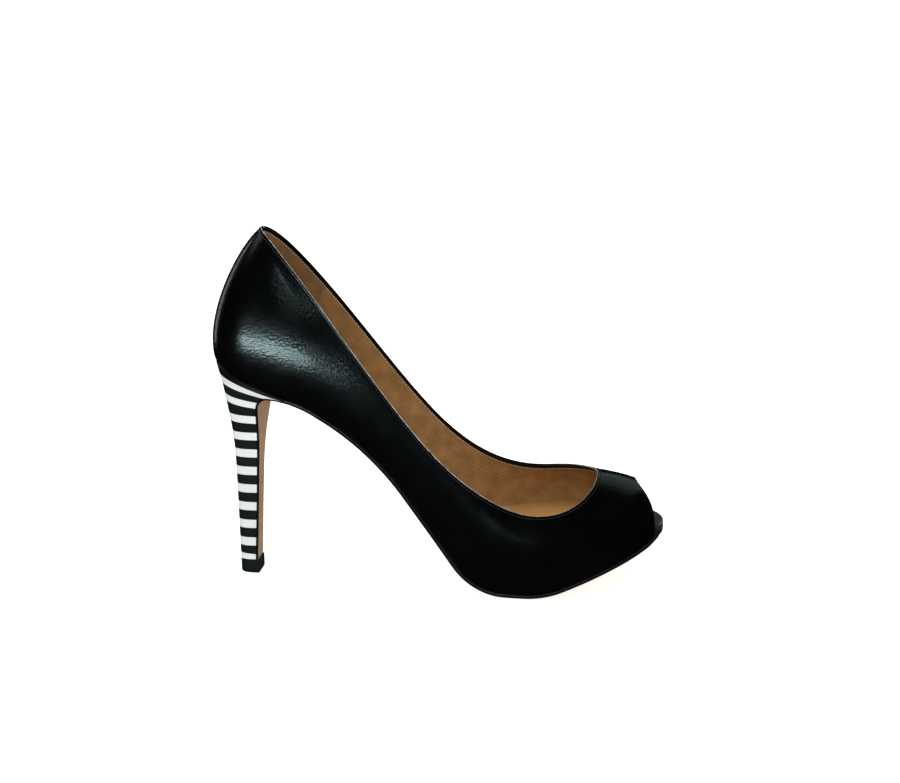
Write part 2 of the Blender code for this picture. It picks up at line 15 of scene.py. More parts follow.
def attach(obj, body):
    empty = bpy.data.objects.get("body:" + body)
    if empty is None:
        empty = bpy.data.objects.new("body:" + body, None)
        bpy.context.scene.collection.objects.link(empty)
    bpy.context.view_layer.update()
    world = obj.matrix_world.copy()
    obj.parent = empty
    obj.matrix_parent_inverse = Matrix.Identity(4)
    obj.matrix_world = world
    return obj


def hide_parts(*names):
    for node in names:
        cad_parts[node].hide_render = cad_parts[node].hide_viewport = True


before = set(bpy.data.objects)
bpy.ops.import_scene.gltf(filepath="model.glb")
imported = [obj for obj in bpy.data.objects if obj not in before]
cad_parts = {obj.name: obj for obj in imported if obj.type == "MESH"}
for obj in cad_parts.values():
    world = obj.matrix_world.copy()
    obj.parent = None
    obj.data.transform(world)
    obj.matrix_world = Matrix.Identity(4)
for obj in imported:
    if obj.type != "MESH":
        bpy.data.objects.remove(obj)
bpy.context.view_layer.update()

MM = 0.001
BODY = "root"
SHIFT = np.array([0.45, -0.40, 0.0])  # from the curves' own origin to the row frame

# Sizes shared with the CAD source
WALL = 1.8
GAP = 0.3
SOLE = 2.4
FLAP = 1.0
INSOLE = 2.6
LIFT = 6.8
LIFT_REACH = 0.5
TREAD_FRONT, TREAD_BACK = 41.0, 32.0
TOE_SPRING, TOE_RADIUS = 21.6, 50.0
SOLE_TOE_X = 102.4
ROLL_RADIUS, PITCH = 30.0, 54.4
SHANK_LENGTH = 39.5
ARCH_RADIUS, ARCH_END = 138.5, 32.0
LIP_RADIUS, LIP_END = 47.2, 4.0
BREAST_RADIUS, BREAST_TOP = 5.3, -83.0
SWEEP_RADIUS, BREAST_RAKE = 600.0, -86.5
SEAT_RADIUS, SEAT_ANGLE, SEAT_LENGTH = 45.0, 21.4, 46.0
CROWN, CROWN_WIDTH = 0.5, 4.5
EDGE_INSET = 0.5
BALL_X, BALL_Z = 29.0, 24.2
FOREPART_RISE, FOREPART_LENGTH = 3.5, 75.0
BALL_RADIUS, FOOT_PITCH = 38.0, 49.5
RAMP_LENGTH = 33.9
WAIST_RADIUS = 100.0
INSOLE_FRONT_X = 93.0
PLATFORM_BACK_X = -8.0
PEEP_LATERAL_Y, PEEP_MEDIAL_Y = -8.1, 25.5
PEEP_TOP, PEEP_ROUNDNESS = 0.645, 2.37
LIP_START, LIP_BLEND = 0.92, 0.16
LIP_OUT = 0.5
LIP_ROUND = 3.0
LIP_GROOVE = 0.53  # share of the lip's height where the leather meets its painted lower edge
HEEL_BACK_X, HEEL_FLARE, HEEL_FLARE_Z = -97.0, 6.5, 40.0
HEEL_BACK_Z, HEEL_FLARE_POWER = 104.0, 2.9
WING_TIP_X, WING_TAPER = -68.2, 2.3
SEAT_ROUNDNESS, STEM_ROUNDNESS = 2.2, 2.7
STRIPE_TOP, STRIPE_PERIOD, STRIPE_WHITE, LEVEL_STRIPES = 79.5, 8.8, 4.1, 9

# Layers of the dressed wall
SHELL = 1.0  # black leather
LINING = 0.7
LAYER_GAP = 0.04
LINING_BELOW = 1.7  # the fold of the black leather shows this far inside the upper edge
STITCH_BELOW = 1.6
STITCH_PITCH, STITCH_LENGTH, STITCH_RADIUS = 1.55, 1.12, 0.17
LINING_STITCH_BELOW = LINING_BELOW + 0.35
LINING_STITCH_LENGTH, LINING_STITCH_RADIUS = 0.8, 0.2
TUCK, TUCK_HEIGHT = 0.6, 2.6  # the lower edge of the upper draws in over the sole
CUP_X, CUP_RADIUS = -62.0, 24.0  # round of the heel, for the ripples of its lasted edge
HEEL_SEAM_X, HEEL_SEAM_SLOPE = -53.3, 0.36  # seam between the lining of the heel and that of the sides
WRINKLE, FINE_WRINKLE, COARSE_WRINKLE = 0.15, 1.35, 2.1  # height and two spacings of the lining's wrinkles

# Clearances, seat and bands of the heel
FLAP_CLEAR = 0.12  # between the heel and the flap
LIFT_CLEAR = 0.1  # above the top lift
SEAT_CLEAR = 0.1  # between the heel and the upper
SEAT_STEP_IN, SEAT_STEP_BACK, SEAT_STEP_FRONT = 1.3, 0.8, 0.4  # step of the seat inwards, and up at both ends
BAND_GROOVE = 0.07
END_BAND_BACK, END_BAND_FRONT = 0.85, 0.35  # the end bands lie this far above the even spacing

Move = namedtuple("Move", "length turn")
Feather = namedtuple("Feather", "name x lateral medial")
Topline = namedtuple("Topline", "name x lateral medial z_lateral z_medial")
Wall = namedtuple("Wall", "name flare low lean high")
Breast = namedtuple("Breast", "up heel sole")
HeelLevel = namedtuple("HeelLevel", "name back_z up")
Sheet = namedtuple("Sheet", "u points normals below above")
Crease = namedtuple("Crease", "name height width path")
Relief = namedtuple("Relief", "height middle width")
Look = namedtuple("Look", "key name dark light rough grain depth cloud specular pores", defaults=[0.4])
Lamp = namedtuple("Lamp", "name target azimuth elevation distance wide tall roll power colour diffuse glossy")

FEATHER = [
    Feather("back seam", -103.5, 0.0, 0.0),
    Feather("cup", -99.1, -12.6, 12.6),
    Feather("heel side", -86.7, -20.7, 20.7),
    Feather("breast", -67.5, -23.6, 23.4),
    Feather("shank", -43.0, -22.6, 21.4),
    Feather("waist", -18.0, -23.4, 20.6),
    Feather("instep", 5.0, -26.6, 23.2),
    Feather("joint", 26.0, -30.8, 28.8),
    Feather("ball", 46.0, -32.8, 33.2),
    Feather("vamp", 66.0, -30.8, 33.8),
    Feather("shoulder", 83.0, -24.0, 29.6),
    Feather("corner", 95.5, -13.6, 21.6),
    Feather("toe", 103.0, 4.0, 4.0),
]
TOPLINE = [
    Topline("back seam", -79.5, 0.0, 0.0, 166.2, 166.2),
    Topline("cup", -77.2, -6.6, 6.6, 164.4, 164.4),
    Topline("heel side", -70.4, -12.0, 12.0, 157.6, 157.6),
    Topline("breast", -56.6, -17.0, 17.0, 140.8, 140.8),
    Topline("shank", -37.0, -21.4, 21.2, 114.2, 114.4),
    Topline("waist", -17.5, -23.2, 22.6, 87.4, 88.8),
    Topline("instep", 1.0, -25.4, 24.4, 65.4, 67.6),
    Topline("joint", 20.0, -27.8, 26.6, 49.8, 53.4),
    Topline("ball", 39.0, -29.0, 27.8, 40.8, 47.4),
    Topline("vamp", 55.0, -26.8, 26.8, 39.8, 47.6),
    Topline("shoulder", 65.6, -18.4, 20.6, 42.8, 48.8),
    Topline("corner", 71.3, -9.0, 12.0, 47.2, 50.0),
    Topline("toe", 73.0, 1.6, 1.6, 50.4, 50.4),
]
WALLS = [
    Wall("back seam", 18.0, 19.0, 52.0, 16.6),
    Wall("cup", 18.0, 19.0, 46.0, 17.0),
    Wall("heel side", 18.0, 18.0, 34.0, 18.0),
    Wall("breast", 19.0, 16.0, 22.0, 16.0),
    Wall("shank", 20.0, 12.0, 12.0, 12.0),
    Wall("waist", 19.0, 10.0, 9.0, 10.0),
    Wall("instep", 18.0, 10.0, 12.0, 10.0),
    Wall("joint", 20.0, 12.0, 24.0, 13.0),
    Wall("ball", 22.0, 14.0, 40.0, 16.0),
    Wall("vamp", 20.0, 15.0, 56.0, 18.0),
    Wall("shoulder", 16.0, 17.0, 70.0, 19.0),
    Wall("corner", 10.0, 19.5, 79.0, 20.0),
    Wall("toe", 6.0, 20.0, 86.0, 21.0),
]
BREAST = [
    Breast(0.0, 5.4, 5.3),
    Breast(20.0, 5.2, 5.1),
    Breast(40.0, 5.4, 5.3),
    Breast(53.9, 6.3, 6.2),
    Breast(62.0, 8.2, 8.1),
    Breast(69.2, 11.6, 11.4),
    Breast(77.0, 15.2, 14.9),
    Breast(85.2, 18.6, 17.6),
    Breast(93.4, 23.2, 21.0),
]
SEAT_STRIPES = [
    HeelLevel("second white, lower edge", 86.4, 77.2),
    HeelLevel("second white, upper edge", 90.2, 79.9),
    HeelLevel("first white, lower edge", 95.2, 83.5),
    HeelLevel("first white, upper edge", 99.85, 93.2),
]

# Soft ridges and troughs of the upper, each along a path of places round the wall and shares of its height
CREASES = [
    Crease("counter edge", 0.16, 2.2, [(0.048, 0.93), (0.060, 0.905), (0.079, 0.865), (0.098, 0.82)]),
    Crease("counter edge behind", 0.16, 2.2, [(0.952, 0.93), (0.940, 0.905), (0.921, 0.865), (0.902, 0.82)]),
    Crease("waist pull", -0.14, 2.6, [(0.178, 0.02), (0.186, 0.16), (0.192, 0.30)]),
    Crease("waist pull behind", -0.14, 2.6, [(0.822, 0.02), (0.816, 0.16), (0.808, 0.30)]),
    Crease("arch pull", -0.10, 2.2, [(0.205, 0.02), (0.209, 0.14), (0.211, 0.22)]),
    Crease("joint fold", -0.12, 3.0, [(0.300, 0.96), (0.306, 0.80), (0.318, 0.62)]),
    Crease("joint fold behind", -0.12, 3.0, [(0.690, 0.96), (0.684, 0.80), (0.676, 0.62)]),
]

# Humps and grooves of the upper, each across its distance from an edge or seam
EDGE_FOLD = Relief(0.17, 0.75, 0.6)
STITCH_GROOVE = Relief(-0.15, STITCH_BELOW, 0.24)
PEEP_FOLD = Relief(0.10, 0.8, 0.7)
PEEP_TROUGH = Relief(-0.05, 2.2, 0.6)
BACK_RIDGE = Relief(0.10, 1.0, 0.6)
BACK_SEAM = Relief(-0.20, 0.0, 0.3)
LASTED_RIPPLE = Relief(0.045, 3.5, 3.2)
LINING_SEAM = Relief(-0.18, 0.0, 0.35)

# Surfaces, with grain in cells to the metre, its depth in microns, and clouds of colour to the metre
MICRON = 1e-6
LOOKS = [
    Look("calf", "black_calf", (6e-4, 7e-4, 7e-4), (14e-4, 15e-4, 15e-4), (0.17, 0.22), 950, 70, 40, 0.5, 0.35),
    # the lip's black leather is coloured a lighter grey than the upper's calf: a painted highlight on the lip's top
    Look("lip", "lip_leather_painted_highlight", (0.012, 0.014, 0.013), (0.018, 0.020, 0.019), (0.36, 0.46), 1500, 30, 40, 0.5),
    Look("lip_edge", "lip_edge_paint", (0.005, 0.0045, 0.003), (0.009, 0.008, 0.005), (0.36, 0.46), 1500, 30, 40, 0.4),
    # a thin light grey line along the crest of the upper's fold, a painted highlight
    Look("crest", "crest_painted_highlight", (0.02, 0.02, 0.02), (0.60, 0.60, 0.55), (0.30, 0.42), 1500, 20, 600, 0.5),
    Look("lining", "lining_leather", (0.27, 0.142, 0.048), (0.43, 0.230, 0.086), (0.55, 0.70), 1900, 70, 160, 0.3),
    Look("heel_lining", "heel_lining", (0.21, 0.118, 0.046), (0.32, 0.178, 0.072), (0.55, 0.70), 1900, 70, 160, 0.3),
    Look("raw", "lining_raw_edge", (0.012, 0.010, 0.008), (0.030, 0.024, 0.018), (0.75, 0.9), 2600, 100, 40, 0.2),
    Look("sock", "sock_leather", (0.38, 0.198, 0.062), (0.45, 0.238, 0.082), (0.45, 0.6), 1700, 50, 40, 0.35),
    Look("sole", "sole_leather", (0.34, 0.225, 0.130), (0.41, 0.275, 0.165), (0.34, 0.50), 900, 30, 40, 0.35),
    Look("edge", "sole_edge_paint", (0.002, 0.002, 0.002), (0.004, 0.004, 0.004), (0.30, 0.40), 2200, 30, 40, 0.45),
    # a lighter grey on the sole's top bevel, a painted highlight
    Look("sole_bevel_highlight", "sole_bevel_painted_highlight", (0.014, 0.014, 0.013), (0.060, 0.060, 0.056), (0.30, 0.42), 2200, 30, 300, 0.45),
    Look("white", "stripe_white", (0.60, 0.625, 0.60), (0.65, 0.675, 0.65), (0.26, 0.36), 1200, 15, 40, 0.4),
    Look("black", "stripe_black", (0.0045, 0.007, 0.007), (0.007, 0.010, 0.010), (0.30, 0.40), 1200, 15, 40, 0.4),
    Look("rubber", "lift_rubber", (0.003, 0.0045, 0.0045), (0.005, 0.007, 0.007), (0.50, 0.65), 3000, 80, 40, 0.35),
    # the outer thread is black, coloured dark grey as a painted glint
    Look("thread", "black_thread_painted_glint", (0.018, 0.019, 0.019), (0.034, 0.036, 0.036), (0.30, 0.45), 5000, 40, 40, 0.6),
    Look("cream", "cream_thread", (0.46, 0.33, 0.20), (0.70, 0.60, 0.47), (0.5, 0.65), 5000, 50, 60, 0.4),
]


def arc(radius, turn):
    return Move(radius * math.radians(abs(turn)), turn)


def straight(length):
    return Move(length, 0.0)


def walk(start, heading, moves, step=1.0):
    """Rows of x, z and heading along arcs and straights. Heading 0 goes back along -X, and 90 goes up."""
    x, z = start
    rows = [(x, z, heading)]
    for move in moves:
        count = max(1, math.ceil(move.length / step))
        for _ in range(count):
            middle = math.radians(heading + move.turn / count / 2)
            half_turn = math.radians(move.turn / count / 2)
            chord = move.length / count
            if move.turn:
                chord *= math.sin(half_turn) / half_turn
            x -= chord * math.cos(middle)
            z += chord * math.sin(middle)
            heading += move.turn / count
            rows.append((x, z, heading))
    return np.array(rows)


def offset(rows, distance):
    """The walk moved square to itself, upwards where it goes back along -X."""
    turn = np.radians(rows[:, 2])
    return np.column_stack([rows[:, 0] + distance * np.sin(turn), rows[:, 1] + distance * np.cos(turn)])


def toe_start():
    """Where the outsole's lower face ends at the toe, so that its flat spot lies on the floor."""
    turn = math.radians(TOE_SPRING)
    run = (SOLE_TOE_X - TREAD_FRONT - TOE_RADIUS * math.sin(turn)) / math.cos(turn)
    return (SOLE_TOE_X, TOE_RADIUS * (1 - math.cos(turn)) + run * math.sin(turn)), run


def forepart_moves():
    return [
        straight(toe_start()[1]),
        arc(TOE_RADIUS, TOE_SPRING),
        straight(TREAD_FRONT - TREAD_BACK),
        arc(ROLL_RADIUS, PITCH),
        straight(SHANK_LENGTH),
        arc(ARCH_RADIUS, ARCH_END - PITCH),
    ]


def sole_walk():
    """The outsole's lower face from its toe to the lower end of the breast flap."""
    turn = [
        arc(LIP_RADIUS, LIP_END - ARCH_END),
        arc(BREAST_RADIUS, BREAST_TOP - LIP_END),
        arc(SWEEP_RADIUS, BREAST_RAKE - BREAST_TOP),
    ]
    start = toe_start()[0]
    corner = walk(start, -TOE_SPRING, forepart_moves() + turn)[-1]
    fall = (corner[1] - LIFT - LIFT_CLEAR) / math.sin(math.radians(-BREAST_RAKE))
    return walk(start, -TOE_SPRING, forepart_moves() + turn + [straight(fall)])


def heights(points):
    """A function that gives the height of a line of points at any x."""
    order = np.argsort(points[:, 0])
    return lambda x: np.interp(x, points[order, 0], points[order, 1])


def feather_line():
    """Height of the upper's lower edge: the top of the sole, and behind it the straight heel seat."""
    seat = [arc(SEAT_RADIUS, SEAT_ANGLE - ARCH_END), straight(SEAT_LENGTH)]
    return heights(offset(walk(toe_start()[0], -TOE_SPRING, forepart_moves() + seat), SOLE + GAP))


def insole_line():
    """Height of the insole's upper face."""
    rise = math.radians(FOREPART_RISE)
    toe = (BALL_X + FOREPART_LENGTH * math.cos(rise), BALL_Z + FOREPART_LENGTH * math.sin(rise))
    moves = [
        straight(FOREPART_LENGTH),
        arc(BALL_RADIUS, FOREPART_RISE + FOOT_PITCH),
        straight(RAMP_LENGTH),
        arc(WAIST_RADIUS, SEAT_ANGLE - FOOT_PITCH),
        straight(SEAT_LENGTH),
    ]
    return heights(walk(toe, -FOREPART_RISE, moves)[:, :2])


feather_z = feather_line()
insole_z = insole_line()


def insole_low(x):
    return np.maximum(insole_z(x) - INSOLE, feather_z(x))


def platform_top(x):
    """Height of the platform, which steps up in front of the sock to form the lip in the peep toe."""
    step = np.clip((x - INSOLE_FRONT_X - 1.0) / 2.0, 0.0, 1.0)
    return insole_low(x) - GAP + step * INSOLE


class Ring:
    """Closed cubic spline through rows of values, with its parameter running from 0 to 1."""

    def __init__(self, knots, values):
        self.knots, self.values = knots, values
        count = len(values)
        spans = np.diff(knots)
        system = np.zeros((count, count))
        target = np.zeros(values.shape)
        for i in range(count):
            before, after = spans[i - 1], spans[i]
            system[i, i - 1] += before
            system[i, i] += 2 * (before + after)
            system[i, (i + 1) % count] += after
            rise = (values[(i + 1) % count] - values[i]) / after
            target[i] = 6 * (rise - (values[i] - values[i - 1]) / before)
        self.bend = np.linalg.solve(system, target)

    def at(self, u):
        u = np.mod(u, 1.0)
        i = np.clip(np.searchsorted(self.knots, u, side="right") - 1, 0, len(self.values) - 1)
        j = (i + 1) % len(self.values)
        span = self.knots[i + 1] - self.knots[i]
        b = ((u - self.knots[i]) / span)[..., None]
        a = 1 - b
        curve = (a**3 - a) * self.bend[i] + (b**3 - b) * self.bend[j]
        return a * self.values[i] + b * self.values[j] + curve * (span**2)[..., None] / 6


def last_ring():
    """The spline of all section values, lateral rows from back to toe and then medial rows back again."""
    rows = []
    for side in ("lateral", "medial"):
        for f, t, w in zip(FEATHER, TOPLINE, WALLS):
            top_z = getattr(t, "z_" + side)
            rows.append((f.x, getattr(f, side), t.x, getattr(t, side), top_z, *w[1:]))
    count = len(FEATHER)
    lateral, medial = rows[:count], rows[count + 1 : -1][::-1]
    values = np.array(lateral + medial)
    reach = np.linalg.norm(np.roll(values, -1, axis=0)[:, :2] - values[:, :2], axis=1)
    knots = np.concatenate([[0.0], np.cumsum(reach) / reach.sum()])
    return Ring(knots, values), knots[count - 1]


ring, TOE_U = last_ring()


def unit(vectors):
    return vectors / np.linalg.norm(vectors, axis=-1, keepdims=True)


def outward(u, columns):
    """Level unit normals, pointing out of the closed plan curve held in two columns of the ring."""
    small = 1e-4
    along = ring.at(u + small)[..., columns] - ring.at(u - small)[..., columns]
    return unit(np.stack([along[..., 1], -along[..., 0]], axis=-1))


def with_height(plan, z):
    return np.concatenate([plan, np.asarray(z)[..., None]], axis=-1)


def wall_surface(u, h):
    """Outer face of the upper at u round the shoe, 0 at the back seam, and h from lower to upper edge."""
    u, h = np.broadcast_arrays(np.asarray(u, float), np.asarray(h, float))
    row = ring.at(u)
    foot = with_height(row[..., 0:2], feather_z(row[..., 0]))
    top = row[..., 2:5]
    flare, lean = np.radians(row[..., 5]), np.radians(row[..., 7])
    low, high = row[..., 6:7], row[..., 8:9]
    foot_out, top_out = outward(u, [0, 1]), outward(u, [2, 3])
    rise = with_height(foot_out * np.sin(flare)[..., None], np.cos(flare))
    fall = with_height(top_out * np.sin(lean)[..., None], -np.cos(lean))
    a, b = 1 - h[..., None], h[..., None]
    return a**3 * foot + 3 * a**2 * b * (foot + low * rise) + 3 * a * b**2 * (top + high * fall) + b**3 * top


def wall_normal(u, h):
    small = 1e-3
    along = wall_surface(u + small, h) - wall_surface(u - small, h)
    up = wall_surface(u, np.minimum(h + small, 1.0)) - wall_surface(u, np.maximum(h - small, 0.0))
    return unit(np.cross(along, up))


def u_at_toe_y(y):
    u = np.linspace(TOE_U - 0.12, TOE_U + 0.12, 400)
    return float(np.interp(y, ring.at(u)[:, 1], u))


def u_at_x(x, low_u, high_u):
    u = np.linspace(low_u, high_u, 600)
    plan_x = ring.at(u)[:, 0]
    order = np.argsort(plan_x)
    return float(np.interp(x, plan_x[order], u[order]))


PEEP_START, PEEP_END = u_at_toe_y(PEEP_LATERAL_Y), u_at_toe_y(PEEP_MEDIAL_Y)


def peep_edge(u):
    """Share of the wall that the peep toe cuts away, 0 outside it."""
    across = (2 * u - PEEP_START - PEEP_END) / (PEEP_END - PEEP_START)
    inside = np.clip(1 - np.abs(across) ** PEEP_ROUNDNESS, 0.0, 1.0)
    return PEEP_TOP * inside ** (1 / PEEP_ROUNDNESS)


def spaced(start, end, count):
    """Places along the lower edge at even lengths, closer together round the peep toe."""
    u = np.linspace(start, end, 3000)
    plan = ring.at(u)[:, :2]
    foot = with_height(plan, feather_z(plan[:, 0]))
    peep = np.abs(2 * u[1:] - PEEP_START - PEEP_END) < 1.3 * (PEEP_END - PEEP_START)
    steps = np.linalg.norm(np.diff(foot, axis=0), axis=1) * np.where(peep, 2.0, 1.0)
    length = np.concatenate([[0.0], np.cumsum(steps)])
    return np.interp(np.linspace(0.0, length[-1], count), length, u)


def paired(lateral):
    """Places on the medial side straight across from those on the lateral side."""
    u = np.linspace(1.0, TOE_U, 3000)
    return np.interp(ring.at(lateral)[:, 0], ring.at(u)[:, 0], u)


def shoe_columns(side, peep):
    """Places round the shoe, closer together where the peep toe's edge turns up."""
    lateral = spaced(0.0, PEEP_START, side + 1)
    medial = spaced(PEEP_END, 1.0, side + 1)
    turn = np.linspace(-math.pi / 2, math.pi / 2, peep + 1)[1:-1]
    across = np.sign(turn) * np.abs(np.sin(turn)) ** (2 / PEEP_ROUNDNESS)
    middle = (PEEP_START + PEEP_END) / 2 + across * (PEEP_END - PEEP_START) / 2
    return np.concatenate([lateral, middle, medial[:-1]])


def hump(x, middle, width):
    return np.exp(-(((x - middle) / width) ** 2))


def ramp(x, low, high):
    t = np.clip((x - low) / (high - low), 0.0, 1.0)
    return t * t * (3 - 2 * t)


def wall_sheet(u, low, top, middle, crowd=1.0):
    """The wall in columns at u, with rows at lengths in mm above its lower edge and below its upper edge."""
    fine = np.linspace(0.0, 1.0, 241)
    start = peep_edge(u)[:, None]
    share = start + (1 - start) * fine
    line = wall_surface(u[:, None], share)
    steps = np.linalg.norm(np.diff(line, axis=1), axis=2)
    length = np.concatenate([np.zeros((len(u), 1)), np.cumsum(steps, axis=1)], axis=1)
    rows, places = [], []
    for i in range(len(u)):
        high = length[i, -1] - np.array(top)[::-1]
        spread = high[0] - (high[0] - low[-1]) * np.linspace(1.0, 0.0, middle + 2)[1:-1] ** crowd
        at = np.concatenate([low, spread, high])
        places.append(at)
        rows.append(np.interp(at, length[i], share[i]))
    above, h = np.array(places), np.array(rows)
    grid_u = np.broadcast_to(u[:, None], h.shape)
    below = length[:, -1:] - above
    return Sheet(grid_u, wall_surface(grid_u, h), wall_normal(grid_u, h), below, above)


def line_distance(points, line):
    """Distance of each point from a polyline, and the share of the line's length at the nearest place."""
    best = np.full(points.shape[:-1], 1e9)
    share = np.zeros(points.shape[:-1])
    steps = np.linalg.norm(np.diff(line, axis=0), axis=1)
    at = np.concatenate([[0.0], np.cumsum(steps)]) / steps.sum()
    for i, (a, b) in enumerate(zip(line, line[1:])):
        along = b - a
        t = np.clip(((points - a) @ along) / (along @ along), 0.0, 1.0)
        distance = np.linalg.norm(points - a - t[..., None] * along, axis=-1)
        nearer = distance < best
        best = np.where(nearer, distance, best)
        share = np.where(nearer, at[i] + t * (at[i + 1] - at[i]), share)
    return best, share


def peep_line():
    u = shoe_columns(2, 90)
    u = u[(u >= PEEP_START) & (u <= PEEP_END)]
    return wall_surface(u, peep_edge(u))


def from_peep(sheet):
    """Distance of the wall's points from the edge of the peep toe."""
    near = np.abs(2 * sheet.u - PEEP_START - PEEP_END) < 1.6 * (PEEP_END - PEEP_START)
    distance = np.full(sheet.u.shape, 99.0)
    distance[near] = line_distance(sheet.points[near], peep_line())[0]
    return distance


def crease_relief(points):
    relief = np.zeros(points.shape[:-1])
    for crease in CREASES:
        u, h = np.array(crease.path).T
        fine = np.linspace(0.0, 1.0, 13)
        at = np.linspace(0.0, 1.0, len(u))
        line = wall_surface(np.interp(fine, at, u), np.interp(fine, at, h))
        distance, share = line_distance(points, line)
        relief += crease.height * hump(distance, 0.0, crease.width) * np.sin(math.pi * (0.08 + 0.84 * share))
    return relief


def raised(distance, relief):
    return relief.height * hump(distance, relief.middle, relief.width)


def tucked(points):
    """How far in mm the lower edge of the upper draws in."""
    return TUCK * (1 - ramp(points[..., 2] - feather_z(points[..., 0]), 0.0, TUCK_HEIGHT))


def shell_relief(sheet):
    """Height in mm of folds, stitch groove, seam and creases on the outer face."""
    x, y, _ = np.moveaxis(sheet.points, -1, 0)
    relief = raised(sheet.below, EDGE_FOLD) + raised(sheet.below, STITCH_GROOVE)
    peep = from_peep(sheet)
    relief += raised(peep, PEEP_FOLD) + raised(peep, PEEP_TROUGH) - tucked(sheet.points)
    relief += np.where(x < -60, raised(np.abs(y), BACK_RIDGE) + raised(y, BACK_SEAM), 0.0)
    around = np.arctan2(y, x - CUP_X) * CUP_RADIUS
    ripple = np.sin(around * 1.75) + 0.6 * np.sin(around * 2.9 + 1.3)
    relief += raised(sheet.above, LASTED_RIPPLE) * ripple * ramp(-x, 58.0, 70.0)
    return relief + crease_relief(sheet.points)


def heel_seam(sheet):
    """Distance along X in front of the seam between the lining of the heel and that of the sides."""
    return sheet.points[..., 0] - HEEL_SEAM_X + HEEL_SEAM_SLOPE * sheet.below


def lining_relief(sheet):
    """Height in mm, towards the foot, of wrinkles and seams of the lining."""
    x, below = sheet.points[..., 0], sheet.below
    drift = 0.9 * np.sin(0.11 * x) + 0.5 * np.sin(0.23 * x + 1.0)
    fine = np.sin(2 * math.pi * (below + drift) / FINE_WRINKLE)
    coarse = np.sin(2 * math.pi * (below - drift) / COARSE_WRINKLE)
    waist = hump(x, 8.0, 24.0) * ramp(below, 3.0, 6.0) * (1 - ramp(below, 14.0, 22.0))
    relief = WRINKLE * (fine + 0.6 * coarse) * waist
    relief += 0.10 * np.sin(0.35 * x + 0.2 * below) * ramp(below, 2.0, 8.0) * hump(x, 5.0, 40.0)
    seam = heel_seam(sheet)
    return relief + 0.12 * ramp(seam, -0.4, 0.4) * ramp(-x, 40.0, 46.0) + raised(seam, LINING_SEAM)


def rim(front, back, inner_front, bulge, count):
    """Rounded edge from a row of points on the front of a wall to the row behind it."""
    along = np.roll(front, -1, axis=0) - np.roll(front, 1, axis=0)
    half = (front - back) / 2
    out = np.cross(half, along)
    out *= np.sign(((front - inner_front) * out).sum(axis=1))[:, None]
    out = unit(out) * np.linalg.norm(half, axis=1, keepdims=True) * bulge
    turn = np.linspace(0.0, math.pi, count + 2)[1:-1]
    return (front + back)[:, None] / 2 + half[:, None] * np.cos(turn)[:, None] + out[:, None] * np.sin(turn)[:, None]


def closed_wall(front, back, bulge, count):
    """Loops of points up the front, over the upper edge, down the back and under the lower edge."""
    top = rim(front[:, -1], back[:, -1], front[:, -2], bulge, count)
    low = rim(back[:, 0], front[:, 0], back[:, 1], bulge, count)
    return np.concatenate([front, top, back[:, ::-1], low], axis=1)


def quads_between(rows, columns, wrap_rows):
    """Faces of a grid of points that closes on itself across its columns, and if asked across its rows."""
    faces = []
    for i in range(rows if wrap_rows else rows - 1):
        for k in range(columns):
            a, b = i * columns, (i + 1) % rows * columns
            faces.append((a + k, a + (k + 1) % columns, b + (k + 1) % columns, b + k))
    return faces


def rung_faces(start, count):
    """Faces that close one ring with rungs from side to side."""
    return [(start + i, start + i + 1, start + count - 2 - i, start + count - 1 - i) for i in range(count // 2 - 1)]


def stack_faces(levels, count):
    """Faces of closed rings one above the other, with both ends closed."""
    top = rung_faces((levels - 1) * count, count)
    return quads_between(levels, count, False) + top + [face[::-1] for face in rung_faces(0, count)]


def tube_faces(count, corners):
    """Faces of a row of sections, with both ends closed."""
    last = (count - 1) * corners
    ends = [tuple(range(corners))[::-1], tuple(range(last, last + corners))]
    return quads_between(count, corners, False) + ends


def add_piece(name, points, faces, looks, replaced=(), face_looks=None, sharp=40.0):
    """A closed mesh that rides on the shoe, with its faces turned outwards."""
    points = (np.asarray(points).reshape(-1, 3) + SHIFT) * MM
    mesh = bpy.data.meshes.new(name)
    mesh.from_pydata(points.tolist(), [], faces)
    mesh.calc_loop_triangles()
    corners = np.empty(len(mesh.loop_triangles) * 3, np.int32)
    mesh.loop_triangles.foreach_get("vertices", corners)
    if np.linalg.det(points[corners.reshape(-1, 3)] - points.mean(axis=0)).sum() < 0:
        mesh.flip_normals()
    for look in looks:
        mesh.materials.append(look)
    if face_looks is not None:
        mesh.polygons.foreach_set("material_index", np.asarray(face_looks, np.int32))
    mesh.shade_smooth()
    mesh.set_sharp_from_angle(angle=math.radians(sharp))
    made = bpy.data.objects.new(name, mesh)
    bpy.context.scene.collection.objects.link(made)
    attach(made, BODY)
    if replaced:
        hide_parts(*replaced)
    return made


def node(tree, kind, inputs=None, **settings):
    made = tree.nodes.new(kind)
    for key, value in settings.items():
        setattr(made, key, value)
    for key, value in (inputs or {}).items():
        if isinstance(value, bpy.types.NodeSocket):
            tree.links.new(value, made.inputs[key])
        else:
            made.inputs[key].default_value = value
    return made


def blend_of(tree, factor, low, high, start=0.3, end=0.7):
    """Colour that goes from low to high as factor goes from start to end."""
    made = node(tree, "ShaderNodeValToRGB", {"Fac": factor})
    first, second = made.color_ramp.elements
    first.position, first.color = start, (*low, 1.0)
    second.position, second.color = end, (*high, 1.0)
    return made.outputs["Color"]


def between(tree, factor, low, high):
    """Number that goes from low to high as factor goes from 0.3 to 0.7."""
    ends = {"From Min": 0.3, "From Max": 0.7, "To Min": low, "To Max": high}
    return node(tree, "ShaderNodeMapRange", {"Value": factor, **ends}).outputs["Result"]


def sum_of(tree, first, share, second, second_share):
    one = node(tree, "ShaderNodeMath", {0: first, 1: share}, operation="MULTIPLY").outputs[0]
    return node(tree, "ShaderNodeMath", {0: second, 1: second_share, 2: one}, operation="MULTIPLY_ADD").outputs[0]


